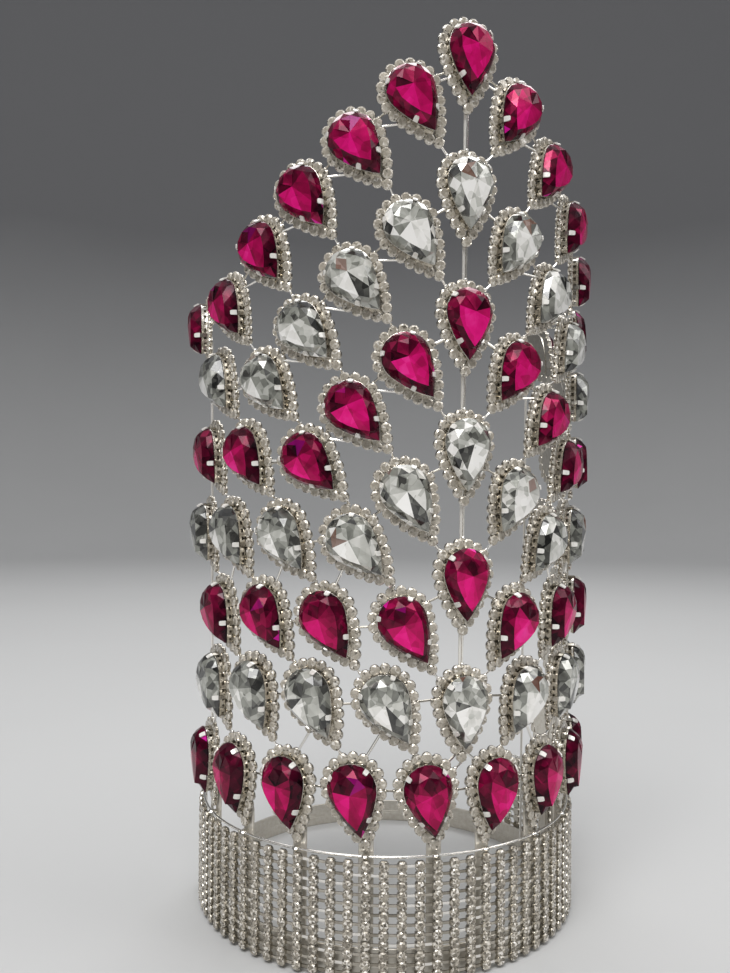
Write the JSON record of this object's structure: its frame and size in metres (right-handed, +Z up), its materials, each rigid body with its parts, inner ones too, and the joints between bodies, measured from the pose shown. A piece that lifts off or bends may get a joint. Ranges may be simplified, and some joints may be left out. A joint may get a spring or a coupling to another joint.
{
  "type": "pageant crown",
  "caption": "Tall open-backed pageant crown: rows of pear stones in halos of small round stones climb to a front peak above a stone mesh band on a full base hoop.",
  "frame": {"origin": "on the plane of the hoop's lower edge, under the middle of the whole crown's box; the hoop's axis stands 6.91 mm behind it, along +Y", "axes": "+Z up from the hoop to the peak, -Y the front of the crown, +X to the right as seen from the front"},
  "size_m": [0.195, 0.1824, 0.381],
  "materials": {
    "silver_metal": "bright silver plate on a soldered alloy frame",
    "band_stones": "columns of small clear stones in silver cups",
    "magenta_glass": "foil-backed magenta faceted glass in silver settings",
    "clear_glass": "foil-backed clear faceted glass in silver settings"
  },
  "bodies": {
    "root": {"hoop_frame": "silver_metal", "rhinestone_band": "band_stones", "centre_wire": "silver_metal", "drops_row_1": "magenta_glass", "drops_row_2": "clear_glass", "drops_row_3": "magenta_glass", "drops_row_4": "clear_glass", "drops_row_5": "magenta_glass", "drops_row_6": "clear_glass", "drops_row_7": "magenta_glass"}
  },
  "joints": []
}
